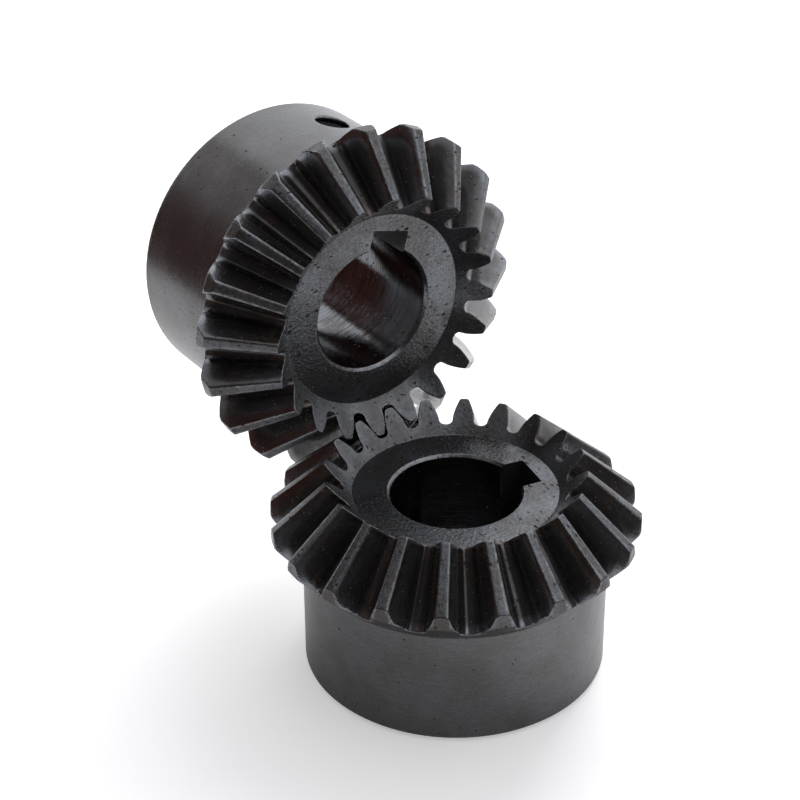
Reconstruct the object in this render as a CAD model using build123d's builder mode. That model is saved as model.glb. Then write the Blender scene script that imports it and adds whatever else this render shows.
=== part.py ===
from build123d import *
import os
from math import acos, asin, atan, cos, pi, radians, sin, tan

# A 1:1 straight bevel (miter) gear pair in steel, shafts at 90 degrees, each gear with a hub,
# a keyed bore and a set screw over the keyway. Millimetres and degrees.
#
# The origin is the apex, where the two shaft axes cross. The lower gear turns on Z and lies
# below the apex. The upper gear turns on Y and lies on its +Y side. Both are the same gear,
# drawn in a gear frame: apex at the origin, axis Z, teeth and hub below the apex.

# Teeth
MODULE = 2.5
TEETH = 20
PRESSURE_ANGLE = 20.0
PITCH_ANGLE = 45.0
FACE_WIDTH = 11.5
ADDENDUM = 1.0 * MODULE
DEDENDUM = 1.22 * MODULE
BACKLASH = 0.17
TIP_BREAK = 0.2

# Blank
CROWN_RADIUS = 25.67
CROWN_ROUNDING = 0.25
LAND_RADIUS = 14.25
HUB_RADIUS = 21.25
HUB_CHAMFER = 0.5
MOUNTING_DISTANCE = 46.0

# Bore and keyway, to the common 18 mm shaft with a 6 x 6 key
BORE_RADIUS = 9.0
BORE_CHAMFER = 0.4
KEY_WIDTH = 6.0
KEYWAY_FLOOR = 11.8
KEYWAY_CORNER = 0.25

# M6 set screw, on the middle of the hub and over the keyway
SCREW_FROM_APEX = 37.5
SCREW_LENGTH = 8.0
SCREW_RECESS = 1.2
THREAD_PITCH = 1.0
THREAD_DEPTH = 0.5
TAPPED_RADIUS = 2.5
TAPPED_MOUTH_RADIUS = 2.75
SCREW_RADIUS = 2.46
SCREW_END_CHAMFER = 0.6
SOCKET_ACROSS_FLATS = 3.0
SOCKET_DEPTH = 3.5
CUP_RADIUS = 1.4
CUP_DEPTH = 0.7

# Shim ring under the lower hub
SHIM_INNER_RADIUS = 14.0
SHIM_OUTER_RADIUS = 20.0
SHIM_THICKNESS = 0.3

# Where the teeth and keyways stand in the gear frame, anticlockwise from X. With this first
# tooth on both gears, a tooth of the upper gear stands in the middle of a space of the lower.
FIRST_TOOTH_ANGLE = 13.5
LOWER_KEY_ANGLE = -11.0
UPPER_KEY_ANGLE = -15.8

# Worked out from the sizes above
PITCH = radians(PITCH_ANGLE)
CONE_DISTANCE = MODULE * TEETH / 2 / sin(PITCH)
SMALL_END = (CONE_DISTANCE - FACE_WIDTH) / CONE_DISTANCE
FACE = PITCH + atan(ADDENDUM / CONE_DISTANCE)
ROOT = PITCH - atan(DEDENDUM / CONE_DISTANCE)
BASE = asin(cos(radians(PRESSURE_ANGLE)) * sin(PITCH))
SCREW_PLACE_RADIUS = HUB_RADIUS - SCREW_RECESS

LOWER_PLANE = Plane.XY
UPPER_PLANE = Plane(origin=(0, 0, 0), x_dir=(0, 0, 1), z_dir=(0, -1, 0))


def involute(cone_angle):
    """Azimuth that a spherical involute has rolled out by the time it meets this cone."""
    rolled = acos(cos(cone_angle) / cos(BASE)) / sin(BASE)
    return rolled - acos(tan(BASE) / tan(cone_angle))


def half_space(cone_angle):
    """Azimuth from the middle of a tooth space to its flank, on this cone."""
    half_tooth = pi / (2 * TEETH) - BACKLASH / (2 * MODULE * TEETH)
    return pi / TEETH - half_tooth - involute(PITCH) + involute(cone_angle)


def back_plane_point(cone_angle, azimuth, distance):
    """Where a ray from the apex meets the plane across the pitch line at this distance."""
    ahead = sin(PITCH) * sin(cone_angle) * cos(azimuth) + cos(PITCH) * cos(cone_angle)
    out = cos(PITCH) * sin(cone_angle) * cos(azimuth) - sin(PITCH) * cos(cone_angle)
    return (distance * sin(cone_angle) * sin(azimuth) / ahead, distance * out / ahead)


def blank_outline():
    """Corner points of the turned blank and the rounding of each, as (radius, height)."""
    toe_sum = 2 * (CONE_DISTANCE - FACE_WIDTH) * cos(PITCH)
    heel_sum = 2 * CONE_DISTANCE * cos(PITCH)
    toe_tip = toe_sum * tan(FACE) / (1 + tan(FACE))
    land = toe_sum - LAND_RADIUS
    end = MOUNTING_DISTANCE
    return [
        ((BORE_RADIUS + BORE_CHAMFER, -land), 0),
        ((LAND_RADIUS, -land), 0),
        ((toe_tip, toe_tip - toe_sum), 0),
        ((CROWN_RADIUS, -CROWN_RADIUS / tan(FACE)), CROWN_ROUNDING),
        ((CROWN_RADIUS, CROWN_RADIUS - heel_sum), CROWN_ROUNDING),
        ((HUB_RADIUS, HUB_RADIUS - heel_sum), CROWN_ROUNDING),
        ((HUB_RADIUS, HUB_CHAMFER - end), 0),
        ((HUB_RADIUS - HUB_CHAMFER, -end), 0),
        ((BORE_RADIUS + BORE_CHAMFER, -end), 0),
        ((BORE_RADIUS, BORE_CHAMFER - end), 0),
        ((BORE_RADIUS, -land - BORE_CHAMFER), 0),
    ]


def tooth_space():
    """The cutter for one tooth space: a cone of rays from the apex with involute sides."""
    steps = 8
    last = FACE - TIP_BREAK / CONE_DISTANCE
    angles = [BASE + (last - BASE) * i / (steps - 1) for i in range(steps)]
    middle = Plane.XY.rotated((0, 0, FIRST_TOOTH_ANGLE + 180 / TEETH))
    pitch_line = middle.from_local_coords(Vector(sin(PITCH), 0, -cos(PITCH)))
    with BuildPart() as space:
        for reach in (SMALL_END - 0.12, 1.12):
            distance = CONE_DISTANCE * reach
            side = [back_plane_point(a, half_space(a), distance) for a in angles]
            foot, tip = side[0], side[-1]
            floor = back_plane_point(ROOT, 0, distance)[1]
            flare = MODULE * reach
            across = Plane(pitch_line * distance, x_dir=middle.y_dir, z_dir=pitch_line)
            with BuildSketch(across):
                with BuildLine():
                    Spline(side)
                    Spline([(-x, y) for x, y in side])
                    EllipticalCenterArc((0, foot[1]), foot[0], foot[1] - floor, 180, arc_size=180)
                    top = (tip[0] + flare, tip[1] + flare)
                    Polyline(tip, top, (-top[0], top[1]), (-tip[0], tip[1]))
                make_face()
        loft(ruled=True)
    return space.part


def thread_outline(crest, groove, start, end):
    """Points up the side of a threaded wall, with a V groove to the groove radius each turn."""
    half_width = THREAD_DEPTH * tan(radians(30))
    turns = int((end - start) / THREAD_PITCH)
    points = [(crest, start)]
    for turn in range(turns):
        middle = start + (turn + 0.5) * THREAD_PITCH
        points += [(crest, middle - half_width), (groove, middle), (crest, middle + half_width)]
    return points + [(crest, end)]


def screw_plane(key_angle):
    """Plane on the set screw's axis, in the gear frame: origin on the gear's axis, Z outward."""
    spoke = Plane.XY.rotated((0, 0, key_angle))
    return Plane((0, 0, -SCREW_FROM_APEX), x_dir=(0, 0, 1), z_dir=spoke.x_dir)


def tapped_hole(key_angle):
    """The cutter for the tapped hole, from inside the keyway out past the hub's surface."""
    hole = screw_plane(key_angle)
    mouth = HUB_RADIUS - (TAPPED_MOUTH_RADIUS - TAPPED_RADIUS)
    inside = KEYWAY_FLOOR - 1
    outside = HUB_RADIUS + 1
    wall = thread_outline(TAPPED_RADIUS, TAPPED_RADIUS + THREAD_DEPTH, KEYWAY_FLOOR + 0.2, mouth)
    flared = [(TAPPED_RADIUS + outside - mouth, outside), (0, outside)]
    half = Plane(hole.origin, x_dir=hole.x_dir, z_dir=-hole.y_dir)
    with BuildPart() as cutter:
        with BuildSketch(half):
            with BuildLine():
                Polyline([(0, inside), (TAPPED_RADIUS, inside)] + wall + flared, close=True)
            make_face()
        revolve(axis=Axis(hole.origin, hole.z_dir))
    return cutter.part


def bevel_gear(key_angle):
    """One gear in the gear frame, with its keyway and tapped hole at the given angle."""
    space = tooth_space()
    hole = tapped_hole(key_angle)
    outline = blank_outline()
    with BuildPart() as gear:
        with BuildSketch(Plane.XZ):
            with BuildLine():
                corners = [point for point, _ in outline]
                roundings = [rounding for _, rounding in outline]
                FilletPolyline(corners, radius=roundings, close=True)
            make_face()
        revolve(axis=Axis.Z)
        with BuildSketch(Plane.XY.rotated((0, 0, key_angle))) as slot:
            Rectangle(KEYWAY_FLOOR, KEY_WIDTH, align=(Align.MIN, Align.CENTER))
            fillet(slot.vertices().sort_by(Axis(slot.workplanes[0].origin,
                                                slot.workplanes[0].x_dir))[-2:], KEYWAY_CORNER)
        extrude(amount=-MOUNTING_DISTANCE - 1, mode=Mode.SUBTRACT)
        add(hole, mode=Mode.SUBTRACT)
        with PolarLocations(0, TEETH):
            add(space, mode=Mode.SUBTRACT)
    return gear.part


def set_screw(key_angle):
    """M6 hexagon socket set screw with a cup point, in its hole and below the hub's surface."""
    hole = screw_plane(key_angle)
    top = SCREW_PLACE_RADIUS
    tip = top - SCREW_LENGTH
    chamfer = SCREW_END_CHAMFER
    wall = thread_outline(SCREW_RADIUS, SCREW_RADIUS - THREAD_DEPTH, tip + chamfer, top - chamfer)
    half = Plane(hole.origin, x_dir=hole.x_dir, z_dir=-hole.y_dir)
    ends = [(0, tip + CUP_DEPTH), (CUP_RADIUS, tip), (SCREW_RADIUS - chamfer, tip)]
    with BuildPart() as screw:
        with BuildSketch(half):
            with BuildLine():
                Polyline(ends + wall + [(SCREW_RADIUS - chamfer, top), (0, top)], close=True)
            make_face()
        revolve(axis=Axis(hole.origin, hole.z_dir))
        with BuildSketch(hole.offset(top)):
            RegularPolygon(SOCKET_ACROSS_FLATS / 2, 6, major_radius=False)
        extrude(amount=-SOCKET_DEPTH, mode=Mode.SUBTRACT)
    return screw.part


def shim():
    """Flat ring that sets the lower gear's mounting distance."""
    with BuildPart() as ring:
        with BuildSketch(Plane.XY.offset(-MOUNTING_DISTANCE)):
            Circle(SHIM_OUTER_RADIUS)
            Circle(SHIM_INNER_RADIUS, mode=Mode.SUBTRACT)
        extrude(amount=-SHIM_THICKNESS)
    return ring.part


def write(part, plane, node):
    """Place a part by its gear's plane and write it as one named node."""
    with BuildPart() as piece:
        add(plane.location * part)
    piece.part.label = node
    export_step(piece.part, f"parts/{node}.step")


os.makedirs("parts", exist_ok=True)
write(bevel_gear(LOWER_KEY_ANGLE), LOWER_PLANE, "lower_gear")
write(bevel_gear(UPPER_KEY_ANGLE), UPPER_PLANE, "upper_gear")
write(set_screw(LOWER_KEY_ANGLE), LOWER_PLANE, "lower_set_screw")
write(set_screw(UPPER_KEY_ANGLE), UPPER_PLANE, "upper_set_screw")
write(shim(), LOWER_PLANE, "mounting_shim")
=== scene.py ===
from collections import namedtuple
from math import acos, asin, atan, atan2, cos, dist, hypot, pi, radians, sin, tan

import bmesh
import bpy
from mathutils import Matrix, Vector
from mathutils.kdtree import KDTree


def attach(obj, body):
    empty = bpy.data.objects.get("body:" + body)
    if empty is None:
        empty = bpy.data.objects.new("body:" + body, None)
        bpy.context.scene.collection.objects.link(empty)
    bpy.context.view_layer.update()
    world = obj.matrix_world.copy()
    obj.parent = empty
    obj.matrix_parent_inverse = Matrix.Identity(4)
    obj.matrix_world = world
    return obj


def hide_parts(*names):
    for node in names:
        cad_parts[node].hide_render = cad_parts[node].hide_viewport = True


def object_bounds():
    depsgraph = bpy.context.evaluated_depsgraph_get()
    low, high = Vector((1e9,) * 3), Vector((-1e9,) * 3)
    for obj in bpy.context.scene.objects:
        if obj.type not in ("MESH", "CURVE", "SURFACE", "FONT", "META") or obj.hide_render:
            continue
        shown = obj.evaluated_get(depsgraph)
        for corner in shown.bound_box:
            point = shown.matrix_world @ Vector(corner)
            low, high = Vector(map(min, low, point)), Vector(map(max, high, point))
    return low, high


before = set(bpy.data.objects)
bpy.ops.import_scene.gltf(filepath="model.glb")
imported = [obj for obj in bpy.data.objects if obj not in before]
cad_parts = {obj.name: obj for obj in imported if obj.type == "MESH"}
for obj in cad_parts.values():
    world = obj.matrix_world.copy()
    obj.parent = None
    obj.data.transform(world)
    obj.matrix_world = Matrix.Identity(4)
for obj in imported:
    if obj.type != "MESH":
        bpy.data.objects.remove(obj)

CAD_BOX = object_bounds()
MM = 0.001

# Camera: where it looks from, in degrees and millimetres, at the photograph's angle
VIEW_AZIMUTH = -35.1
VIEW_ELEVATION = 31.1
VIEW_ROLL = 0.35
VIEW_DISTANCE = 297.5
LENS = 100.8
SENSOR_WIDTH = 36
CLIP_START = 0.01
AIM_RIGHT = -7.55
AIM_UP = -4.27


def view_axes():
    """The camera's right, up and forward directions."""
    azimuth, elevation = radians(VIEW_AZIMUTH), radians(VIEW_ELEVATION)
    right = Vector((cos(azimuth), sin(azimuth), 0))
    back = Vector((-sin(azimuth), cos(azimuth), 0))
    forward = back * cos(elevation) - Vector((0, 0, sin(elevation)))
    return right, right.cross(forward), forward


def add_camera():
    right, up, forward = view_axes()
    place = (-forward * VIEW_DISTANCE + right * AIM_RIGHT + up * AIM_UP) * MM
    roll = Matrix.Rotation(radians(-VIEW_ROLL), 4, "Z")
    turn = Matrix((right, up, -forward)).transposed().to_4x4() @ roll
    data = bpy.data.cameras.new("camera")
    data.lens = LENS
    data.sensor_width = SENSOR_WIDTH
    data.clip_start = CLIP_START
    camera = bpy.data.objects.new("camera", data)
    camera.matrix_world = Matrix.Translation(place) @ turn
    bpy.context.scene.collection.objects.link(camera)
    bpy.context.scene.camera = camera


class Nodes:
    """Short calls for building a node tree."""

    def __init__(self, tree):
        self.tree = tree
        tree.nodes.clear()

    def add(self, kind, **settings):
        node = self.tree.nodes.new(kind)
        for key, value in settings.items():
            setattr(node, key, value)
        return node

    def feed(self, socket, value):
        if isinstance(value, bpy.types.NodeSocket):
            self.tree.links.new(value, socket)
        elif value is not None:
            socket.default_value = value

    def math(self, operation, a, b=None):
        node = self.add("ShaderNodeMath", operation=operation)
        self.feed(node.inputs[0], a)
        self.feed(node.inputs[1], b)
        return node.outputs[0]

    def vector(self, operation, a, b=None, output=0):
        node = self.add("ShaderNodeVectorMath", operation=operation)
        self.feed(node.inputs[0], a)
        self.feed(node.inputs[1], b)
        return node.outputs[output]

    def join(self, x, y, z):
        node = self.add("ShaderNodeCombineXYZ")
        for socket, value in zip(node.inputs, (x, y, z)):
            self.feed(socket, value)
        return node.outputs[0]

    def ramp(self, value, low, high, to_low=0.0, to_high=1.0):
        """A smooth step from to_low at low to to_high at high."""
        node = self.add("ShaderNodeMapRange", interpolation_type="SMOOTHSTEP")
        for socket, number in zip(node.inputs, (value, low, high, to_low, to_high)):
            self.feed(socket, number)
        return node.outputs[0]

    def band(self, value, low, high, soft):
        """One between low and high, and nothing outside them."""
        rise = self.ramp(value, low - soft, low + soft)
        return self.math("MULTIPLY", rise, self.ramp(value, high + soft, high - soft))

    def mix(self, share, a, b):
        """Mix two colours. Sockets go by number, because a Mix node has the same names for each type."""
        node = self.add("ShaderNodeMix", data_type="RGBA")
        self.feed(node.inputs[0], share)
        self.feed(node.inputs[6], a)
        self.feed(node.inputs[7], b)
        return node.outputs[2]

    def blend(self, share, a, b):
        """Mix two numbers."""
        node = self.add("ShaderNodeMix", data_type="FLOAT")
        self.feed(node.inputs[0], share)
        self.feed(node.inputs[2], a)
        self.feed(node.inputs[3], b)
        return node.outputs[0]

    def noise(self, vector, scale, detail=2.0, roughness=0.5):
        node = self.add("ShaderNodeTexNoise")
        self.feed(node.inputs["Vector"], vector)
        for name, value in (("Scale", scale), ("Detail", detail), ("Roughness", roughness)):
            self.feed(node.inputs[name], value)
        return node.outputs["Fac"]

    def cells(self, vector, scale):
        """Distance from the nearest random cell's middle, and two random numbers of that cell's own."""
        node = self.add("ShaderNodeTexVoronoi")
        self.feed(node.inputs["Vector"], vector)
        self.feed(node.inputs["Scale"], scale)
        parts = self.add("ShaderNodeSeparateColor")
        self.feed(parts.inputs[0], node.outputs["Color"])
        return node.outputs["Distance"], parts.outputs[0], parts.outputs[1]


# What the steel reflects, by direction: turn is degrees to the left of straight behind the
# object, and height is degrees above the floor. A band is (low, high, softness).
WHITE = (1.10, 1.12, 1.16, 1)
OVERHEAD_RIGHT = (0.95, 0.97, 1.00, 1)
OVERHEAD_LEFT = (0.42, 0.43, 0.44, 1)
RIGHT_PANEL = (0.90, 0.92, 0.95, 1)
LEFT_PANEL = (0.32, 0.32, 0.33, 1)
ROOM = (0.072, 0.070, 0.070, 1)
BROWN_ROOM = (0.088, 0.038, 0.030, 1)
SEEN_SKY = (0.93, 0.93, 0.94, 1)
BROWN_TURNS = (35, 150, 15)
OVERHEAD_HEIGHTS = (50, 62)
OVERHEAD_SIDES = (-0.35, 0.25)
LEFT_PANEL_TURNS, LEFT_PANEL_HEIGHTS = (70, 150, 6), (43, 58, 4)
RIGHT_PANEL_TURNS, RIGHT_PANEL_HEIGHTS = (-150, -62, 6), (26, 64, 5)
BACKDROP_LEFT, BACKDROP_RIGHT = (65, 61), (-105, -25)
BACKDROP_TOP = 62
BACKDROP_STEP = (31, 39)
BACKDROP_SLOPE = (48, 66, 35.5, 24)
BACKDROP_SOFTNESS = 2


def backdrop(n, turn, height):
    """The white backdrop: tall behind the object, and sloping down on the left."""
    top = n.blend(n.ramp(turn, *BACKDROP_STEP), BACKDROP_TOP, n.ramp(turn, *BACKDROP_SLOPE))
    share = n.ramp(n.math("SUBTRACT", height, top), BACKDROP_SOFTNESS, -BACKDROP_SOFTNESS)
    share = n.math("MULTIPLY", share, n.ramp(turn, *BACKDROP_LEFT))
    return n.math("MULTIPLY", share, n.ramp(turn, *BACKDROP_RIGHT))


def panel(n, turn, height, turns, heights):
    return n.math("MULTIPLY", n.band(turn, *turns), n.band(height, *heights))


def add_world():
    """A white backdrop behind the object, soft panels above and to the sides, and a dim warm room."""
    world = bpy.data.worlds.new("studio")
    bpy.context.scene.world = world
    world.use_nodes = True
    n = Nodes(world.node_tree)
    right, up, forward = view_axes()
    behind = Vector((forward.x, forward.y, 0)).normalized()
    way = n.add("ShaderNodeTexCoord").outputs["Generated"]
    ahead = n.vector("DOT_PRODUCT", way, behind, "Value")
    left = n.vector("DOT_PRODUCT", way, -right, "Value")
    rise = n.vector("DOT_PRODUCT", way, (0, 0, 1), "Value")
    turn = n.math("DEGREES", n.math("ARCTAN2", left, ahead))
    height = n.math("DEGREES", n.math("ARCSINE", rise))
    room = n.mix(n.band(turn, *BROWN_TURNS), ROOM, BROWN_ROOM)
    overhead = n.mix(n.ramp(left, *OVERHEAD_SIDES), OVERHEAD_RIGHT, OVERHEAD_LEFT)
    colour = n.mix(n.ramp(height, *OVERHEAD_HEIGHTS), room, overhead)
    colour = n.mix(panel(n, turn, height, LEFT_PANEL_TURNS, LEFT_PANEL_HEIGHTS), colour, LEFT_PANEL)
    colour = n.mix(panel(n, turn, height, RIGHT_PANEL_TURNS, RIGHT_PANEL_HEIGHTS), colour, RIGHT_PANEL)
    colour = n.mix(backdrop(n, turn, height), colour, WHITE)
    seen = n.add("ShaderNodeLightPath").outputs["Is Camera Ray"]
    light = n.add("ShaderNodeBackground")
    n.feed(light.inputs["Color"], n.mix(seen, colour, SEEN_SKY))
    n.feed(n.add("ShaderNodeOutputWorld").inputs["Surface"], light.outputs[0])


# A soft lamp above and behind the object, a little to the right
KEY_SIZE = 0.5
KEY_POWER = 5.0
KEY_PLACE = (0.40, 0.36, 0.42)
KEY_TARGET = (0, 0.01, -0.03)


def add_key():
    data = bpy.data.lights.new("key", "AREA")
    data.size = KEY_SIZE
    data.energy = KEY_POWER
    lamp = bpy.data.objects.new("key", data)
    lamp.location = KEY_PLACE
    lamp.rotation_euler = (Vector(KEY_TARGET) - Vector(KEY_PLACE)).to_track_quat("-Z", "Y").to_euler()
    lamp.visible_glossy = False
    bpy.context.scene.collection.objects.link(lamp)


# White paper, lifted a little where the camera sees it. Reflections see only its inner disc.
PAPER = (0.80, 0.80, 0.81, 1)
MIRRORED_PAPER = (0.74, 0.74, 0.75, 1)
PAPER_ROUGHNESS = 0.75
PAPER_SPECULAR = 0.2
SEEN_GLOW = 0.43
MIRRORED_GLOW = 0.05
FLOOR_RADIUS = 0.19
FLOOR_OUTER_RADIUS = 3.0
FLOOR_GAP = 0.00002
FLOOR_STEPS = 96


def floor_material():
    material = bpy.data.materials.new("floor_paper")
    material.use_nodes = True
    n = Nodes(material.node_tree)
    shader = n.add("ShaderNodeBsdfPrincipled")
    seen = n.add("ShaderNodeLightPath").outputs["Is Camera Ray"]
    n.feed(shader.inputs["Base Color"], n.mix(seen, MIRRORED_PAPER, PAPER))
    shader.inputs["Roughness"].default_value = PAPER_ROUGHNESS
    shader.inputs["Specular IOR Level"].default_value = PAPER_SPECULAR
    shader.inputs["Emission Color"].default_value = (1, 1, 1, 1)
    n.feed(shader.inputs["Emission Strength"], n.blend(seen, MIRRORED_GLOW, SEEN_GLOW))
    n.feed(n.add("ShaderNodeOutputMaterial").inputs[0], shader.outputs[0])
    return material


def floor_circle(radius):
    turns = [2 * pi * i / FLOOR_STEPS for i in range(FLOOR_STEPS)]
    low = CAD_BOX[0][2] - FLOOR_GAP
    return [(radius * cos(turn), radius * sin(turn), low) for turn in turns]


def add_floor_piece(name, points, faces, material):
    mesh = bpy.data.meshes.new(name)
    mesh.from_pydata(points, [], faces)
    mesh.materials.append(material)
    piece = bpy.data.objects.new(name, mesh)
    bpy.context.scene.collection.objects.link(piece)
    return piece


def add_floor():
    material = floor_material()
    count = FLOOR_STEPS
    inner, outer = floor_circle(FLOOR_RADIUS), floor_circle(FLOOR_OUTER_RADIUS)
    add_floor_piece("floor", inner, [tuple(range(count))], material)
    faces = []
    for i in range(count):
        j = (i + 1) % count
        faces.append((i, i + count, j + count, j))
    add_floor_piece("floor_outer", inner + outer, faces, material).visible_glossy = False


# ---------------------------------------------------------------- gear mesh
# Sizes in millimetres, the same as the CAD's. R is a distance from the gear's axis and
# S a depth from the apex along it.
TEETH = 20
MODULE = 2.5
PITCH = radians(45)
CONE_DISTANCE = MODULE * TEETH / 2 / sin(PITCH)
FACE_WIDTH = 11.5
DEDENDUM = 1.22 * MODULE
PRESSURE_ANGLE = radians(20)
BACKLASH = 0.17
TIP_ROUNDING = 0.36
EDGE = 0.12
FIRST_TOOTH_ANGLE = 13.5

# Cone angles of the teeth's tips, of their roots and of the circle that the involute starts from
FACE = PITCH + atan(MODULE / CONE_DISTANCE)
ROOT = PITCH - atan(DEDENDUM / CONE_DISTANCE)
BASE = asin(cos(PRESSURE_ANGLE) * sin(PITCH))

# The turned surfaces. TOE_SUM and HEEL_SUM are R + S on the cones at the teeth's ends.
CROWN_RADIUS = 25.67
CROWN_ROUNDING = 0.25
LAND_RADIUS = 14.25
HUB_RADIUS = 21.25
HUB_END = 46.0
BORE_RADIUS = 9.0
TOE_SUM = 2 * (CONE_DISTANCE - FACE_WIDTH) * cos(PITCH)
HEEL_SUM = 2 * CONE_DISTANCE * cos(PITCH)
LAND = TOE_SUM - LAND_RADIUS

# The keyway and the tapped hole. CUT_MARGIN is how far their cutters go past the gear.
KEY_WIDTH = 6.0
KEYWAY_FLOOR = 11.8
KEYWAY_CORNER = 0.25
KEYWAY_ROW = 2.0
HOLE_FROM_APEX = 37.5
TAPPED_RADIUS = 2.5
TAPPED_MOUTH = 0.25
THREAD_START = 0.2
THREAD_PITCH = 1.0
THREAD_DEPTH = 0.5
THREAD_HALF_ANGLE = radians(30)
HOLE_SEGMENTS = 64
CUT_MARGIN = 1.0

# Points on half a tooth's outline, and on long straight runs of a turned line. EVENNESS spreads the
# columns of a turned surface evenly, where 0 keeps them under the teeth's rays.
ROOT_STEPS, FLANK_STEPS, EDGE_STEPS, TIP_STEPS = 5, 6, 3, 2
NEAR_ENDS = (0.3, 1.0)
CLEAR_MIDDLE = 0.2
SHORT_RUN = 0.8
EVENNESS = 0.5

# Faces that turn more than SHARP_TURN outwards make an edge that wears, and EDGE_REACH caps the
# distance from it. Shading breaks where faces turn more than CREASE.
SHARP_TURN = radians(22)
CREASE = radians(38)
EDGE_SPACING = 0.1
EDGE_REACH = 2.0

ZONES = ("hub", "land", "toe", "flank", "tip", "heel", "hub_end", "bore", "keyway", "hole")
HUB, LAND_ZONE, TOE, FLANK, TIP, HEEL, HUB_FACE, BORE, KEYWAY, HOLE = range(len(ZONES))

# A ray from the apex, with the zone of the strip of faces after it
Ray = namedtuple("Ray", "cone_angle azimuth zone even_azimuth")


def involute(cone_angle):
    rolled = acos(cos(cone_angle) / cos(BASE)) / sin(BASE)
    return rolled - acos(tan(BASE) / tan(cone_angle))


def half_space(cone_angle):
    """Azimuth from the middle of a tooth space to its flank, on this cone."""
    half_tooth = pi / (2 * TEETH) - BACKLASH / (2 * MODULE * TEETH)
    return pi / TEETH - half_tooth - involute(PITCH) + involute(cone_angle)


def to_plane(cone_angle, azimuth):
    """Where a ray from the apex meets the plane across the pitch line, one unit away."""
    ahead = sin(PITCH) * sin(cone_angle) * cos(azimuth) + cos(PITCH) * cos(cone_angle)
    out = cos(PITCH) * sin(cone_angle) * cos(azimuth) - sin(PITCH) * cos(cone_angle)
    return sin(cone_angle) * sin(azimuth) / ahead, out / ahead


def to_ray(x, y):
    """The cone angle and azimuth of the ray through a point of that plane."""
    out = sin(PITCH) + y * cos(PITCH)
    cone_angle = atan2(hypot(x, out), cos(PITCH) - y * sin(PITCH))
    return min(cone_angle, FACE), atan2(x, out)


def between(a, b, share):
    return tuple(p + (q - p) * share for p, q in zip(a, b))


def bezier(a, b, c, share):
    rest = 1 - share
    return tuple(rest ** 2 * p + 2 * share * rest * q + share ** 2 * r for p, q, r in zip(a, b, c))


def half_profile():
    """Rays from the middle of a tooth space to the middle of a tooth: (cone angle, azimuth, zone)."""
    foot = to_plane(BASE, half_space(BASE))
    floor = to_plane(ROOT, 0)[1]
    rays = []
    for i in range(ROOT_STEPS):
        turn = pi / 2 * i / ROOT_STEPS
        rays.append(to_ray(foot[0] * sin(turn), foot[1] - (foot[1] - floor) * cos(turn)) + (FLANK,))
    last = FACE - TIP_ROUNDING / CONE_DISTANCE
    for i in range(FLANK_STEPS):
        angle = BASE + (last - BASE) * i / FLANK_STEPS
        rays.append((angle, half_space(angle), FLANK))
    land = half_space(FACE) + TIP_ROUNDING / CONE_DISTANCE / sin(FACE)
    corner_rays = ((last, half_space(last)), (FACE, half_space(FACE)), (FACE, land))
    low, corner, high = (to_plane(*ray) for ray in corner_rays)
    for i in range(EDGE_STEPS):
        zone = FLANK if i < EDGE_STEPS / 2 else TIP
        rays.append(to_ray(*bezier(low, corner, high, i / EDGE_STEPS)) + (zone,))
    for i in range(TIP_STEPS + 1):
        rays.append((FACE, land + (pi / TEETH - land) * i / TIP_STEPS, TIP))
    return rays


def columns():
    """Every ray round the gear."""
    half = half_profile()
    count = len(half) - 1
    pitch = [(c, -a, half[i - 1][2], -i) for i, (c, a, z) in reversed(list(enumerate(half))) if i]
    pitch += [(c, a, z, i) for i, (c, a, z) in enumerate(half[:-1])]
    rays = []
    for tooth in range(TEETH):
        middle = radians(FIRST_TOOTH_ANGLE) + (2 * tooth + 1) * pi / TEETH
        for cone_angle, azimuth, zone, i in pitch:
            even = (1 - EVENNESS) * azimuth + EVENNESS * i / count * pi / TEETH
            rays.append(Ray(cone_angle, middle + azimuth, zone, middle + even))
    return rays


def rounded(corners, steps=3):
    """Points along a line of (R, S, rounding) corners, with an arc at each rounded one."""
    points = []
    for i, (x, y, radius) in enumerate(corners):
        if not radius:
            points.append((x, y))
            continue
        here = Vector((x, y))
        back = (Vector(corners[i - 1][:2]) - here).normalized()
        ahead = (Vector(corners[i + 1][:2]) - here).normalized()
        half = back.angle(ahead) / 2
        centre = here + (back + ahead).normalized() * radius / sin(half)
        start, end = back * radius / tan(half), ahead * radius / tan(half)
        for k in range(steps + 1):
            share = k / steps
            way = (here + start * (1 - share) + end * share - centre).normalized()
            points.append(tuple(centre + way * radius))
    return points


def stops(length, longest):
    """Distances along a long run: near both ends, and along the middle of a very long one."""
    found = [n for n in NEAR_ENDS if n < length / 2 - CLEAR_MIDDLE]
    found += [length - n for n in found]
    if length > 2 * NEAR_ENDS[-1] + longest:
        middle = length - 2 * NEAR_ENDS[-1]
        count = int(middle / longest)
        found += [NEAR_ENDS[-1] + middle * (k + 1) / (count + 1) for k in range(count)]
    return sorted(found) or [length / 2]


def supported(points, longest=5.0):
    """The same line with more points on its long runs, so that faces beside a rounding stay flat."""
    result = [points[0]]
    for a, b in zip(points, points[1:]):
        length = dist(a, b)
        if length > SHORT_RUN:
            result += [between(a, b, stop / length) for stop in stops(length, longest)]
        result.append(b)
    return result


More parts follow.
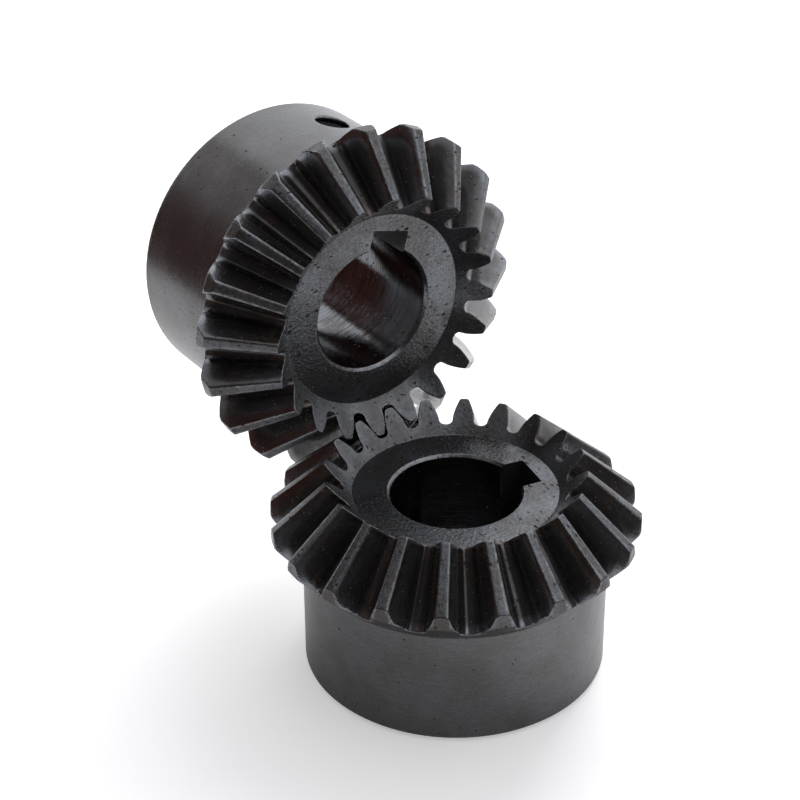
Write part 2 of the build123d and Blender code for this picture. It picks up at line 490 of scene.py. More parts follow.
class Line:
    """A line in the (R, S) plane, measured by distance along it."""

    def __init__(self, points):
        self.points = points
        self.marks = [0.0]
        for a, b in zip(points, points[1:]):
            self.marks.append(self.marks[-1] + dist(a, b))

    def at(self, mark):
        i = 0
        while i < len(self.marks) - 2 and mark > self.marks[i + 1]:
            i += 1
        share = (mark - self.marks[i]) / (self.marks[i + 1] - self.marks[i])
        return between(self.points[i], self.points[i + 1], share)

    def meet(self, cone_angle):
        """The mark where a ray from the apex meets the line, whose cone angle falls along it."""
        for i, (a, b) in enumerate(zip(self.points, self.points[1:])):
            f, g = (p[0] * cos(cone_angle) - p[1] * sin(cone_angle) for p in (a, b))
            if g <= 0:
                return self.marks[i] + (self.marks[i + 1] - self.marks[i]) * min(max(f / (f - g), 0), 1)
        return self.marks[-1]


def inset(line, rays):
    """Where the rays end on a turned line, and the same outline set in by EDGE along its faces."""
    marks = [line.meet(ray.cone_angle) for ray in rays]
    ends, insets = [], []
    for j, (mark, ray) in enumerate(zip(marks, rays)):
        k = (j + 1) % len(rays)
        radius = line.at(mark)[0]
        turn = (rays[k].azimuth - rays[j - 1].azimuth + pi) % (2 * pi) - pi
        way = Vector((marks[k] - marks[j - 1], radius * turn)).normalized()
        ends.append(mark)
        insets.append((mark + EDGE * way.y, ray.azimuth - EDGE * way.x / radius))
    return ends, insets


def toe_line():
    tip = TOE_SUM * tan(FACE) / (1 + tan(FACE))
    return Line([(tip, TOE_SUM - tip), (LAND_RADIUS, LAND)])


def heel_line():
    corner = CROWN_RADIUS / tan(FACE)
    corners = [
        (CROWN_RADIUS - 1, corner - 1 / tan(FACE), 0),
        (CROWN_RADIUS, corner, CROWN_ROUNDING),
        (CROWN_RADIUS, HEEL_SUM - CROWN_RADIUS, CROWN_ROUNDING),
        (HUB_RADIUS, HEEL_SUM - HUB_RADIUS, CROWN_ROUNDING),
        (HUB_RADIUS, HEEL_SUM - HUB_RADIUS + 1, 0),
    ]
    return Line(supported(rounded(corners)[1:-1]))


# Where the rings of points stand, as shares of the way: along the teeth, from the flat ring's edge to
# the teeth's small ends, and round an edge. ROW_STEP keeps the rings over the crown apart, and
# LAND_MARGIN keeps the first ring off the flat ring's rounded edge.
RAY_ROWS = (
    0, 0.025, 0.07, 0.13, 0.2, 0.28, 0.36, 0.44,
    0.52, 0.6, 0.68, 0.76, 0.83, 0.9, 0.955, 0.985, 1,
)
TOE_ROWS = (1, 0.7, 0.4, 0.15, 0)
CORNER_ROWS = (1 / 3, 2 / 3)
ROW_STEP = 0.05
LAND_MARGIN = 0.13

# The chamfers and the small roundings beside them. MID_BORE is where the line closes on itself. FLAT
# and INSIDE are margins that tell which surface a point is on.
BORE_CHAMFER, BORE_EDGE = 0.4, 0.08
HUB_CHAMFER, HUB_EDGE = 0.5, 0.12
LAND_EDGE = 0.15
MID_BORE = 32.0
FLAT = 0.02
INSIDE = 0.05


def polar(r, s, azimuth):
    return r * cos(azimuth), r * sin(azimuth), -s


def land_line():
    """From inside the bore over its chamfer and the flat ring round it."""
    return supported(rounded([
        (BORE_RADIUS, MID_BORE, 0),
        (BORE_RADIUS, LAND + BORE_CHAMFER, BORE_EDGE),
        (BORE_RADIUS + BORE_CHAMFER, LAND, BORE_EDGE),
        (LAND_RADIUS, LAND, LAND_EDGE),
        (LAND_RADIUS + 1, LAND - 1, 0),
    ], 2)[:-1])


def hub_line():
    """From the crown down the hub, over its end and back into the bore."""
    side = supported(rounded([
        (HUB_RADIUS, HEEL_SUM - HUB_RADIUS, 0),
        (HUB_RADIUS, HUB_END - HUB_CHAMFER, HUB_EDGE),
        (HUB_RADIUS - HUB_CHAMFER, HUB_END, 0),
    ], 2)[:-1], longest=1.0)
    end = supported(rounded([
        (HUB_RADIUS, HUB_END - HUB_CHAMFER, 0),
        (HUB_RADIUS - HUB_CHAMFER, HUB_END, HUB_EDGE),
        (BORE_RADIUS + BORE_CHAMFER, HUB_END, BORE_EDGE),
        (BORE_RADIUS, HUB_END - BORE_CHAMFER, BORE_EDGE),
        (BORE_RADIUS, MID_BORE, 0),
    ], 2))
    return side[1:] + end[1:-1]


class Rings:
    """Rings of points round the gear, each with the zone after it. No zone means each ray's own."""

    def __init__(self):
        self.rays = columns()
        self.rows, self.zones = [], []

    def add(self, points, zone):
        self.rows.append(points)
        self.zones.append(zone)

    def add_round(self, r, s, zone):
        self.add([polar(r, s, ray.even_azimuth) for ray in self.rays], zone)

    def add_corner(self, befores, corners, afters, zones):
        """Two rings that round an edge. befores and afters give each point's neighbours."""
        for share, zone in zip(CORNER_ROWS, zones):
            curves = zip(befores, corners, afters)
            self.add([bezier(before, corner, after, share) for before, corner, after in curves], zone)


def add_land(rings):
    """From the middle of the bore to the flat ring's edge."""
    for r, s in land_line():
        if r < BORE_RADIUS + BORE_CHAMFER - INSIDE:
            zone = BORE
        else:
            zone = LAND_ZONE if s > LAND - FLAT else TOE
        rings.add_round(r, s, zone)


def add_toe(rings, toe, insets):
    """From the flat ring's edge out to the teeth's small ends, while round turns to their outline."""
    land_mark = toe.marks[-1] - LAND_MARGIN
    for share in TOE_ROWS:
        points = []
        for (mark, azimuth), ray in zip(insets, rings.rays):
            r, s = toe.at(mark + (land_mark - mark) * share)
            points.append(polar(r, s, azimuth + (ray.even_azimuth - azimuth) * share))
        rings.add(points, TOE)


def add_teeth(rings, toe, toe_ends, heel, heel_ends, heel_insets):
    """Along the teeth, with a rounded edge at each end."""
    rays = rings.rays
    toes = [Vector(polar(*toe.at(mark), ray.azimuth)) for mark, ray in zip(toe_ends, rays)]
    heels = [Vector(polar(*heel.at(mark), ray.azimuth)) for mark, ray in zip(heel_ends, rays)]
    ways = [(b - a).normalized() * EDGE for a, b in zip(toes, heels)]
    starts = [a + way for a, way in zip(toes, ways)]
    ends = [b - way for b, way in zip(heels, ways)]
    rings.add_corner(rings.rows[-1], toes, starts, (TOE, None))
    for share in RAY_ROWS:
        rings.add([tuple(a.lerp(b, share)) for a, b in zip(starts, ends)], None)
    backs = [Vector(polar(*heel.at(mark), azimuth)) for mark, azimuth in heel_insets]
    rings.add_corner(ends, heels, backs, (None, HEEL))


def add_heel(rings, heel, insets):
    """Over the crown to the hub, and from the teeth's outline back to round."""
    length = heel.marks[-1]
    for k, feature in enumerate([0.0] + heel.marks[1:]):
        points = []
        for (mark, azimuth), ray in zip(insets, rings.rays):
            here = min(max(feature, mark + ROW_STEP * k), length) if k else mark
            share = (here - mark) / (length - mark)
            r, s = heel.at(here)
            points.append(polar(r, s, azimuth + (ray.even_azimuth - azimuth) * share))
        rings.add(points, HEEL if k < len(heel.marks) - 1 else HUB)


def add_hub(rings):
    """From the crown over the hub and its end, and back to the middle of the bore."""
    for r, s in hub_line():
        if r > HUB_RADIUS - HUB_CHAMFER + INSIDE and s <= HUB_END - FLAT:
            zone = HUB
        elif r > BORE_RADIUS + BORE_CHAMFER - INSIDE or s > HUB_END - FLAT:
            zone = HUB_FACE
        else:
            zone = BORE
        rings.add_round(r, s, zone)


def gear_rings():
    """Rings of points from the bore over the teeth and hub and back."""
    rings = Rings()
    toe, heel = toe_line(), heel_line()
    toe_ends, toe_insets = inset(toe, rings.rays)
    heel_ends, heel_insets = inset(heel, rings.rays)
    add_land(rings)
    add_toe(rings, toe, toe_insets)
    add_teeth(rings, toe, toe_ends, heel, heel_ends, heel_insets)
    add_heel(rings, heel, heel_insets)
    add_hub(rings)
    return rings


def make_mesh(name, points, faces, zones):
    mesh = bpy.data.meshes.new(name)
    mesh.from_pydata([Vector(p) * MM for p in points], [], faces)
    mesh.polygons.foreach_set("material_index", zones)
    mesh.update()
    return mesh


def gear_blank(name):
    """The gear before its keyway and tapped hole: the rings joined, and the last one to the first."""
    rings = gear_rings()
    around = len(rings.rays)
    points = [p for row in rings.rows for p in row]
    faces, zones = [], []
    for i, zone in enumerate(rings.zones):
        j = (i + 1) % len(rings.rows)
        for k in range(around):
            m = (k + 1) % around
            faces.append((i * around + k, j * around + k, j * around + m, i * around + m))
            zones.append(rings.rays[k].zone if zone is None else zone)
    return make_mesh(name, points, faces, zones)


def cutter_object(name, points, faces, zone):
    mesh = make_mesh(name, points, faces, [zone] * len(faces))
    return with_slots(bpy.data.objects.new(name, mesh))


def with_slots(obj):
    """Give an object one material slot for each zone."""
    for zone in ZONES:
        obj.data.materials.append(bpy.data.materials.get(zone) or bpy.data.materials.new(zone))
    bpy.context.scene.collection.objects.link(obj)
    return obj


def tube_faces(rows, around):
    """Faces between rings of points, and over both ends."""
    faces = []
    for row in range(rows - 1):
        for k in range(around):
            a, b = row * around + k, row * around + (k + 1) % around
            faces.append((a, b, b + around, a + around))
    last = (rows - 1) * around
    return faces + [tuple(reversed(range(around))), tuple(range(last, last + around))]


def keyway_levels():
    """Depths from the apex, past both ends of the bore, with more rows near the ends."""
    count = int((HUB_END - LAND - NEAR_ENDS[-1]) / KEYWAY_ROW)
    levels = [HUB_END + CUT_MARGIN] + [HUB_END - d for d in NEAR_ENDS]
    levels += [HUB_END - KEYWAY_ROW * (k + 1) for k in range(count)]
    return levels + [LAND + d for d in reversed(NEAR_ENDS)] + [LAND - CUT_MARGIN]


def keyway_cutter(key_angle):
    """A bar with rounded outer corners, from inside the bore to the keyway's floor."""
    half = KEY_WIDTH / 2
    corners = [
        (0, -half, 0),
        (KEYWAY_FLOOR, -half, KEYWAY_CORNER),
        (KEYWAY_FLOOR, half, KEYWAY_CORNER),
        (0, half, 0),
    ]
    outline = supported(rounded(corners))
    levels = keyway_levels()
    turn = Matrix.Rotation(key_angle, 3, "Z")
    points = [turn @ Vector((x, y, -s)) for s in levels for x, y in outline]
    return cutter_object("keyway_cutter", points, tube_faces(len(levels), len(outline)), KEYWAY)


def thread_line(start, end):
    """A threaded wall's outline, as (radius, height) points with a V groove each turn."""
    half = THREAD_DEPTH * tan(THREAD_HALF_ANGLE)
    points = [(TAPPED_RADIUS, start)]
    for turn in range(int((end - start) / THREAD_PITCH)):
        middle = start + (turn + 0.5) * THREAD_PITCH
        points.append((TAPPED_RADIUS, middle - half))
        points.append((TAPPED_RADIUS + THREAD_DEPTH, middle))
        points.append((TAPPED_RADIUS, middle + half))
    return points + [(TAPPED_RADIUS, end)]


def hole_cutter(key_angle):
    """The tapped hole, turned about its own axis, from the keyway out past the hub."""
    line = [(TAPPED_RADIUS, KEYWAY_FLOOR - CUT_MARGIN)]
    line += thread_line(KEYWAY_FLOOR + THREAD_START, HUB_RADIUS - TAPPED_MOUTH)
    line.append((TAPPED_RADIUS + TAPPED_MOUTH + CUT_MARGIN, HUB_RADIUS + CUT_MARGIN))
    spoke = Vector((cos(key_angle), sin(key_angle), 0))
    side = Vector((-sin(key_angle), cos(key_angle), 0))
    centre = Vector((0, 0, -HOLE_FROM_APEX))
    points = []
    for radius, height in line:
        for k in range(HOLE_SEGMENTS):
            turn = 2 * pi * k / HOLE_SEGMENTS
            way = side * cos(turn) + Vector((0, 0, sin(turn)))
            points.append(centre + spoke * height + way * radius)
    return cutter_object("hole_cutter", points, tube_faces(len(line), HOLE_SEGMENTS), HOLE)


def cut(obj, cutter):
    change = obj.modifiers.new("cut", "BOOLEAN")
    change.operation = "DIFFERENCE"
    change.solver = "EXACT"
    change.material_mode = "INDEX"
    change.object = cutter
    apply_modifiers(obj)
    bpy.data.objects.remove(cutter)


def apply_modifiers(obj):
    graph = bpy.context.evaluated_depsgraph_get()
    mesh = bpy.data.meshes.new_from_object(obj.evaluated_get(graph))
    obj.modifiers.clear()
    obj.data = mesh


def edge_points(mesh):
    """Points along every sharp outer edge of a mesh."""
    editable = bmesh.new()
    editable.from_mesh(mesh)
    found = []
    for edge in editable.edges:
        if edge.is_manifold and edge.calc_face_angle_signed() > SHARP_TURN:
            a, c = (v.co for v in edge.verts)
            count = int((c - a).length / (EDGE_SPACING * MM)) + 1
            found += [a.lerp(c, i / count) for i in range(count + 1)]
    editable.free()
    return found


def mark_edges(mesh):
    """Store each point's distance from the nearest outer edge, in millimetres, for the wear."""
    found = edge_points(mesh)
    tree = KDTree(len(found))
    for i, point in enumerate(found):
        tree.insert(point, i)
    tree.balance()
    distances = [min(tree.find(v.co)[2] / MM, EDGE_REACH) for v in mesh.vertices]
    mesh.attributes.new("edge", "FLOAT", "POINT").data.foreach_set("value", distances)


def gear(name, key_angle, place):
    """A whole gear: the blank, its keyway and tapped hole, worn edges marked and smooth shading."""
    piece = with_slots(bpy.data.objects.new(name, gear_blank(name)))
    cut(piece, keyway_cutter(radians(key_angle)))
    cut(piece, hole_cutter(radians(key_angle)))
    mark_edges(piece.data)
    piece.data.shade_smooth()
    piece.data.set_sharp_from_angle(angle=CREASE)
    piece.modifiers.new("normals", "WEIGHTED_NORMAL").keep_sharp = True
    apply_modifiers(piece)
    piece.matrix_world = place
    return piece


# ---------------------------------------------------------------- materials
# Lengths in the materials are millimetres, and heights are micrometres.
OXIDE_DARK = (0.110, 0.114, 0.122, 1)
OXIDE_LIGHT = (0.217, 0.226, 0.243, 1)
OXIDE_WARM = (0.185, 0.172, 0.160, 1)
OXIDE_BROWN = (0.135, 0.105, 0.084, 1)
RUST = (0.20, 0.11, 0.065, 1)
# Painted shade: the dark colour laid into the tooth roots, the keyway and the tapped hole, where shade
# falls
PAINTED_SHADE_COLOUR = (0.034, 0.033, 0.034, 1)
# Painted highlight: the pale colour of the glow at each flank's big end
PAINTED_HEEL_GLOW = (0.30, 0.315, 0.345, 1)
WORN = (0.25, 0.255, 0.27, 1)
BARE_STEEL = (0.50, 0.50, 0.49, 1)
PIT = (0.048, 0.044, 0.042, 1)
DUST = (0.36, 0.32, 0.25, 1)
WORN_ROUGHNESS = 0.24
PIT_ROUGHNESS = 0.70
DUST_ROUGHNESS = 0.80
OIL_ROUGHNESS = 0.08
ROUGHNESS_GRIT, ROUGHNESS_CLOUD = 0.06, 0.05
BROWN_DULLNESS, PAINTED_SHADE_DULLNESS = 0.15, 0.5
PIT_DEPTH = 14.0
DUST_HEIGHT = 10.0
CHIP_HEIGHT = 24.0
WAVE_HEIGHT = 8.0
BEAD_HEIGHT = 45.0
TO_MILLIMETRES = (1000,) * 3
MICROMETRE = 0.001 * MM

# Noises, as (features per mm, detail, roughness). The tool marks and the grain take their features
# per mm from each surface's own look.
MARKS = (4, 0.65)
GRAIN = (4, 0.6)
GRIT = (7.0, 2, 0.6)
PATCHES = (0.16, 3, 0.55)
BEADS = (1.3, 3, 0.6)
CHIPS = (2.7, 3, 0.6)
WAVES = (0.5, 2)
PAINTED_SHADE_EDGE = (0.9, 3, 0.6)
WEAR_WIDTH = (0.25, 2)
WEAR_EDGE = (2.4, 4, 0.7)
WEAR_GAPS = (1.3, 4, 0.7)
HEEL_GLOW_EDGE = (0.5, 3, 0.6)
RUST_PATCHES = (0.22, 3)

# Pits: how the cells are warped and stretched, and how much some are larger. Dust: specks per mm, and
# a shift that keeps them apart from the pits.
PIT_WARP_SCALE = 3.0
PIT_WARP = (0.35,) * 3
PIT_STRETCH = (1.0, 0.45, 0.7)
PIT_GROWTH = 0.20
DUST_SIZE = 1.9
DUST_SHIFT = (3.3, 1.7, 5.1)

# How far a noise shifts an outline, in the unit of what it bounds
BROWN_RAGGED = 0.10
PAINTED_SHADE_RAGGED = 0.9
WEAR_RAGGED = 0.30
HEEL_GLOW_RAGGED = 3.0
GRIT_SHADE = 0.25

# Smooth steps, as (where it begins, where it ends) of what is measured. Patches and noises run from
# 0 to 1. Lengths are millimetres from the nearest outer edge, or from the apex for BIG_END and
# HEEL_GLOW_LENGTH. WEAR_WIDTHS and BIG_END_WEAR are what the steps run between.
OILY = (0.42, 0.62)
BROWNED = (0.60, 0.40)
SHADES = (-0.35, 0.35)
# Painted shade deepens over this distance from the outer edges, towards the roots
PAINTED_SHADE_STEP = (0.3, 1.9)
PIT_RIM = (0.12, 0.04)
DUST_RIM = (0.15, 0.08)
CHIPPED = (0.55, 0.10)
RUST_STREAKS = (0.54, 0.68)
RUST_SPREAD = (0.42, 0.60)
RUST_SHARE = 0.75
WEAR_SPREAD = (0.36, 0.66)
WEAR_WIDTHS = (0.2, 2.6)
WEAR_FADE = (1.3, 0.5)
WEAR_BREAKS = (0.40, 0.58)
BIG_END = (32.0, 35.0)
BIG_END_WEAR = (1.0, 1.6)
# The painted highlight at the big end fades in over these lengths
HEEL_GLOW_LENGTH = (30.5, 36.0)
HEEL_GLOW_WIDTH = (1.5, 0.0)

# Distance from the apex at which marks along the rays have their stated fineness
RAY_LENGTH = 30

# What a surface is like, and how each surface of the object differs from that.
# marks: which way the tool ran. fineness: marks per mm. along: the same along the marks.
# line, grain, grit: heights of the marks, the grain and the finest grain. grain_size: grains per mm.
# streaks, mottle, cloud: how much the marks, the grain and large patches change the colour.
# pits, dust: share of cells that have one. pit_size: cells per mm. oil: how oily the oily patches are.
# brown: how brown the brown patches are. warm: how much browner the oxide is all over.
# wear: width of the bright edges. painted_heel_glow: how much a painted highlight pales the big end's
# corners.
# painted_shade: how much painted shade darkens the plain oxide. deep_painted_shade: the same far from an
# edge. bright: share of bare steel.
# turned: how much the marks stretch a reflection.
PLAIN = dict(
    marks="rings", fineness=3.2, along=0.3, line=1.5, grain=3.0, grain_size=2.4, grit=0.7, rough=0.26,
    streaks=0.35, mottle=0.35, cloud=0.22, pits=0.5, pit_size=1.8, dust=0.04, oil=0.3, brown=0.15, warm=0.0,
    wear=0.08, painted_heel_glow=0.0, painted_shade=0.0, deep_painted_shade=0.0, bright=0.0, turned=0.0,
)
# The darkening amounts in these looks are painted shade, and the flanks' big-end glow is a painted
# highlight
FINISHES = {
    "hub": dict(
        marks="round", fineness=5.0, along=0.5, line=3.2, grain=2.0, streaks=0.45, mottle=0.25, cloud=0.10,
        pits=0.07, pit_size=2.2, oil=0.10, brown=0.08, warm=0.35, wear=0.06, turned=0.3,
    ),
    "land": dict(
        line=1.0, grain=55.0, grain_size=2.2, grit=10.0, rough=0.20, streaks=0.10, mottle=0.65, pits=0.90,
        pit_size=1.35, dust=0.22, oil=0.5,
    ),
    "toe": dict(
        line=1.2, grain=30.0, grain_size=2.0, grit=4.0, rough=0.22, streaks=0.15, mottle=0.6, dust=0.12,
        painted_shade=0.20, deep_painted_shade=0.4,
    ),
    "flank": dict(
        marks="rays", grain=7.0, grain_size=1.5, rough=0.17, pits=0.35, dust=0.20, brown=0.30, wear=0.035,
        painted_heel_glow=0.8, painted_shade=0.15, deep_painted_shade=0.80,
    ),
    "tip": dict(
        fineness=4.5, line=2.0, grain=30.0, grit=5.0, rough=0.32, mottle=0.9, dust=0.12, oil=0.1, wear=0.12,
        painted_shade=0.12, deep_painted_shade=0.85,
    ),
    "heel": dict(fineness=3.5, line=3.0, grain=12.0, rough=0.28, mottle=0.6, brown=0.3, painted_shade=0.35),
    "hub_end": dict(fineness=2.6, line=6.0, rough=0.30),
    "bore": dict(
        marks="round", fineness=3.8, along=0.20, line=10.0, grain=1.5, rough=0.08, streaks=1.8, pits=0.2,
        dust=0.03, wear=0.10, painted_shade=0.03,
    ),
    "keyway": dict(marks="round", fineness=0.25, line=2.0, grain=8.0, rough=0.30, brown=0.3, painted_shade=0.75),
    "hole": dict(marks="round", fineness=2.0, line=1.0, rough=0.28, brown=0.4, painted_shade=0.3),
    "screw": dict(marks="round", fineness=2.0, line=1.0, wear=0),
    "shim": dict(line=2.0, grain=2.0, rough=0.30, wear=0, bright=0.8),
}


def mark_lines(n, place, look):
    """Coordinates that change quickly across the tool marks and slowly along them."""
    along, fineness = look["along"], look["fineness"]
    if look["marks"] == "rays":
        fast = n.vector("MULTIPLY", n.vector("NORMALIZE", place), (RAY_LENGTH * fineness,) * 3)
        return n.vector("ADD", fast, n.vector("MULTIPLY", place, (along,) * 3))
    if look["marks"] == "round":
        return n.vector("MULTIPLY", place, (along, along, fineness))
    radius = n.vector("LENGTH", n.vector("MULTIPLY", place, (1, 1, 0)), output="Value")
    slow = n.vector("MULTIPLY", place, (along, along, 0))
    return n.vector("ADD", slow, n.join(0, 0, n.math("MULTIPLY", radius, fineness)))


def centred(n, value, size):
    """A noise turned into a number from -size to size."""
    return n.math("MULTIPLY", n.math("SUBTRACT", value, 0.5), 2 * size)


def total(n, *terms):
    result = terms[0]
    for term in terms[1:]:
        result = n.math("ADD", result, term)
    return result


def product(n, *terms):
    result = terms[0]
    for term in terms[1:]:
        result = n.math("MULTIPLY", result, term)
    return result


class Surface:
    """The patterns that one surface's colour, roughness and height are made from."""

    def __init__(self, n, look):
        self.n, self.look = n, look
        self.place = n.vector("MULTIPLY", n.add("ShaderNodeTexCoord").outputs["Object"], TO_MILLIMETRES)
        seed = n.add("ShaderNodeAttribute", attribute_name="seed").outputs["Fac"]
        self.point = n.vector("ADD", self.place, n.join(seed, seed, 0))
        self.edge = n.add("ShaderNodeAttribute", attribute_name="edge").outputs["Fac"]
        self.lines = n.noise(mark_lines(n, self.place, look), 1.0, *MARKS)
        self.grain = n.noise(self.point, look["grain_size"], *GRAIN)
        self.grit = n.noise(self.point, *GRIT)
        self.patch = n.noise(self.point, *PATCHES)
        self.oily = n.ramp(self.patch, *OILY)
        uneven = total(n, self.patch, centred(n, self.grain, BROWN_RAGGED))
        self.brown = n.ramp(uneven, *BROWNED, 0, 2 * look["brown"])
        # How much painted shade darkens the oxide here
        self.painted_shade = self.painted_shading()
        self.pit = self.pits()
        self.dust = self.dusty()

    def painted_shading(self):
        """How much painted shade darkens the plain oxide: on the teeth, more so away from the outer edges
        towards the roots.
        """
        n, look = self.n, self.look
        if not look["deep_painted_shade"]:
            return look["painted_shade"]
        ragged = total(n, self.edge, centred(n, n.noise(self.point, *PAINTED_SHADE_EDGE), PAINTED_SHADE_RAGGED))
        return n.ramp(ragged, *PAINTED_SHADE_STEP, look["painted_shade"], look["deep_painted_shade"])

    def pits(self):
        """Small ragged dents, longer than they are wide."""
        n = self.n
        warp = n.add("ShaderNodeTexNoise")
        n.feed(warp.inputs["Vector"], self.point)
        n.feed(warp.inputs["Scale"], PIT_WARP_SCALE)
        shifted = n.vector("ADD", self.point, n.vector("MULTIPLY", warp.outputs["Color"], PIT_WARP))
        stretched = n.vector("MULTIPLY", shifted, PIT_STRETCH)
        distance, chance, size = n.cells(stretched, self.look["pit_size"])
        rim = n.math("SUBTRACT", distance, n.math("MULTIPLY", size, PIT_GROWTH))
        return product(n, n.ramp(rim, *PIT_RIM), n.math("LESS_THAN", chance, self.look["pits"]))

    def dusty(self):
        """Round specks."""
        n = self.n
        distance, chance, _ = n.cells(n.vector("ADD", self.point, DUST_SHIFT), DUST_SIZE)
        return product(n, n.ramp(distance, *DUST_RIM), n.math("LESS_THAN", chance, self.look["dust"]))

    def worn(self):
        """Where the outer edges are rubbed bright: ragged strips, wider at the big end."""
        n, width = self.n, self.look["wear"]
        widths = (share * width for share in WEAR_WIDTHS)
        uneven = n.ramp(n.noise(self.point, *WEAR_WIDTH), *WEAR_SPREAD, *widths)
        far = n.vector("LENGTH", self.place, output="Value")
        uneven = product(n, uneven, n.ramp(far, *BIG_END, *BIG_END_WEAR))
        near = total(n, self.edge, centred(n, n.noise(self.point, *WEAR_EDGE), WEAR_RAGGED))
        strip = n.ramp(n.math("DIVIDE", near, uneven), *WEAR_FADE)
        return product(n, strip, n.ramp(n.noise(self.point, *WEAR_GAPS), *WEAR_BREAKS))

    def painted_heel_glow(self):
        """A painted highlight: a soft pale patch on each flank at the big end, fading inwards."""
        n = self.n
        far = n.vector("LENGTH", self.place, output="Value")
        far = total(n, far, centred(n, n.noise(self.point, *HEEL_GLOW_EDGE), HEEL_GLOW_RAGGED))
        big_end, near = n.ramp(far, *HEEL_GLOW_LENGTH), n.ramp(self.edge, *HEEL_GLOW_WIDTH)
        return product(n, big_end, near, self.look["painted_heel_glow"])

    def rust(self):
        """Brown streaks along the teeth, in patches."""
        n = self.n
        streaks = n.ramp(self.lines, *RUST_STREAKS)
        return product(n, streaks, n.ramp(n.noise(self.point, *RUST_PATCHES), *RUST_SPREAD), RUST_SHARE)

    def oxide(self):
        """The colour before wear, pits and dust, with the painted shade and the painted highlight in it."""
        n, look = self.n, self.look
        shade = total(
            n,
            centred(n, self.lines, look["streaks"]),
            centred(n, self.grain, look["mottle"]),
            centred(n, self.patch, look["cloud"]),
            centred(n, self.grit, GRIT_SHADE),
        )
        colour = n.mix(n.ramp(shade, *SHADES), OXIDE_DARK, OXIDE_LIGHT)
        colour = n.mix(look["warm"], colour, OXIDE_WARM)
        colour = n.mix(self.brown, colour, OXIDE_BROWN)
        colour = n.mix(look["bright"], colour, BARE_STEEL)
        # Painted shade: darker towards the tooth roots and in the keyway and tapped hole; an even darker
        # tone on the heels
        colour = n.mix(self.painted_shade, colour, PAINTED_SHADE_COLOUR)
        if look["marks"] == "rays":
            colour = n.mix(self.rust(), colour, RUST)
        # Painted highlight: a pale glow on each flank at the big end
        if look["painted_heel_glow"]:
            colour = n.mix(self.painted_heel_glow(), colour, PAINTED_HEEL_GLOW)
        return colour

    def colour_and_roughness(self):
        n, look = self.n, self.look
        colour = self.oxide()
        gritty, cloudy = centred(n, self.grit, ROUGHNESS_GRIT), centred(n, self.patch, ROUGHNESS_CLOUD)
        rough = total(n, gritty, cloudy, look["rough"])
        if look["wear"]:
            worn = self.worn()
            colour = n.mix(worn, colour, WORN)
            rough = n.blend(worn, rough, WORN_ROUGHNESS)
        colour = n.mix(self.pit, colour, PIT)
        rough = n.blend(self.pit, rough, PIT_ROUGHNESS)
        return n.mix(self.dust, colour, DUST), n.blend(self.dust, rough, DUST_ROUGHNESS)

    def metallic(self):
        """Metal all over, apart from dust, brown patches and the painted shade."""
        n = self.n
        browned = n.math("MULTIPLY", self.brown, BROWN_DULLNESS)
        dull = n.math("MAXIMUM", browned, n.math("MULTIPLY", self.painted_shade, PAINTED_SHADE_DULLNESS))
        return n.math("SUBTRACT", 1.0, n.math("MAXIMUM", self.dust, dull))

    def height(self):
        """Height of the surface, in micrometres."""
        n, look = self.n, self.look
        beads = product(n, self.oily, n.noise(self.point, *BEADS), BEAD_HEIGHT * look["oil"])
        height = total(
            n,
            centred(n, self.lines, look["line"]),
            centred(n, self.grain, look["grain"]),
            centred(n, self.grit, look["grit"]),
            n.math("MULTIPLY", n.noise(self.point, *WAVES), WAVE_HEIGHT),
            beads,
            n.math("MULTIPLY", self.pit, -PIT_DEPTH),
            n.math("MULTIPLY", self.dust, DUST_HEIGHT),
        )
        if look["wear"]:
            chips = centred(n, n.noise(self.point, *CHIPS), CHIP_HEIGHT)
            height = total(n, height, product(n, n.ramp(self.edge, *CHIPPED), chips))
        return height


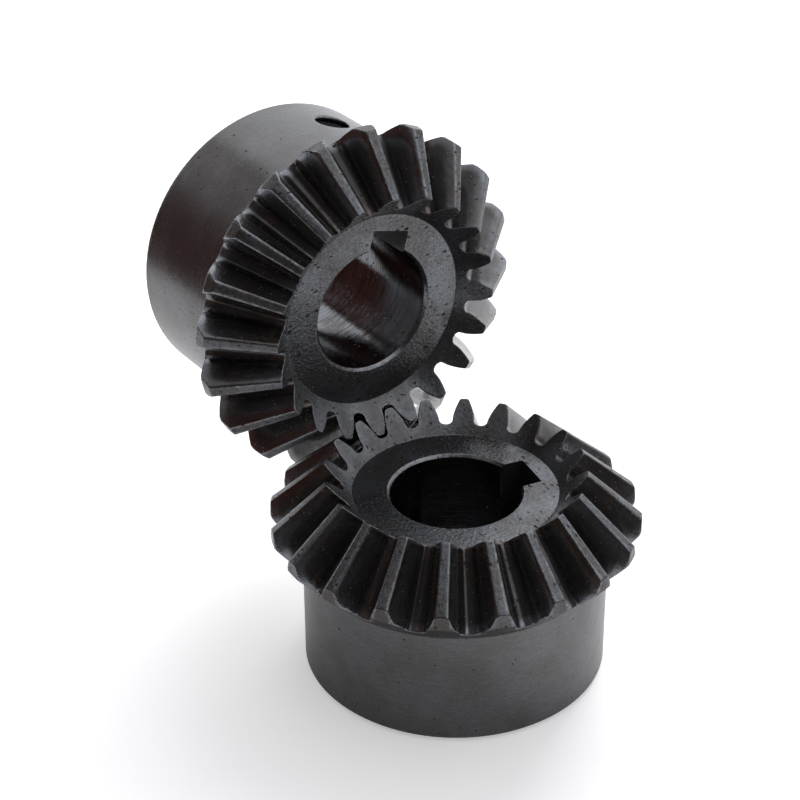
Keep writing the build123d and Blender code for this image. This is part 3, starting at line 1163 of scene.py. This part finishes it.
def black_oxide(name, changes):
    """Blackened steel: tool marks, grain, pits, brown patches, oil, worn edges and dust, with painted shade
    and a painted highlight.
    """
    look = dict(PLAIN, **changes)
    material = bpy.data.materials.new(name)
    material.use_nodes = True
    n = Nodes(material.node_tree)
    surface = Surface(n, look)
    shader = n.add("ShaderNodeBsdfPrincipled")
    bump = n.add("ShaderNodeBump")
    bump.inputs["Strength"].default_value = 1.0
    bump.inputs["Distance"].default_value = MICROMETRE
    n.feed(bump.inputs["Height"], surface.height())
    colour, rough = surface.colour_and_roughness()
    n.feed(shader.inputs["Normal"], bump.outputs[0])
    n.feed(shader.inputs["Base Color"], colour)
    n.feed(shader.inputs["Roughness"], rough)
    n.feed(shader.inputs["Metallic"], surface.metallic())
    n.feed(shader.inputs["Coat Weight"], n.math("MULTIPLY", surface.oily, look["oil"]))
    shader.inputs["Coat Roughness"].default_value = OIL_ROUGHNESS
    if look["turned"]:
        shader.inputs["Anisotropic"].default_value = look["turned"]
        around = n.add("ShaderNodeTangent", direction_type="RADIAL", axis="Z")
        n.feed(shader.inputs["Tangent"], around.outputs[0])
    n.feed(n.add("ShaderNodeOutputMaterial").inputs[0], shader.outputs[0])


# ---------------------------------------------------------------- the scene
LOWER_PLACE = Matrix.Identity(4)
UPPER_PLACE = Matrix(((0, -1, 0, 0), (0, 0, -1, 0), (1, 0, 0, 0), (0, 0, 0, 1)))

# Each gear: the CAD body, its keyway's angle, its place, and an offset that gives it its own pattern
GEARS = (("lower_gear", -11.0, LOWER_PLACE, 0), ("upper_gear", -15.8, UPPER_PLACE, 53))


def add_gears():
    for name, key_angle, place, seed in GEARS:
        piece = gear(name + "_steel_body", key_angle, place)
        mesh = piece.data
        seeds = mesh.attributes.new("seed", "FLOAT", "POINT")
        seeds.data.foreach_set("value", [seed] * len(mesh.vertices))
        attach(piece, name)
        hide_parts(name)


def finish_cad_nodes():
    """The set screws and the shim are the CAD's own solids, with better materials."""
    for name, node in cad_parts.items():
        node.data.materials.clear()
        node.data.materials.append(bpy.data.materials["shim" if "shim" in name else "screw"])


add_camera()
add_world()
add_floor()
add_key()
for name, look in FINISHES.items():
    black_oxide(name, look)
add_gears()
finish_cad_nodes()

bpy.context.scene.view_settings.view_transform = "Standard"
bpy.context.scene.view_settings.look = "None"
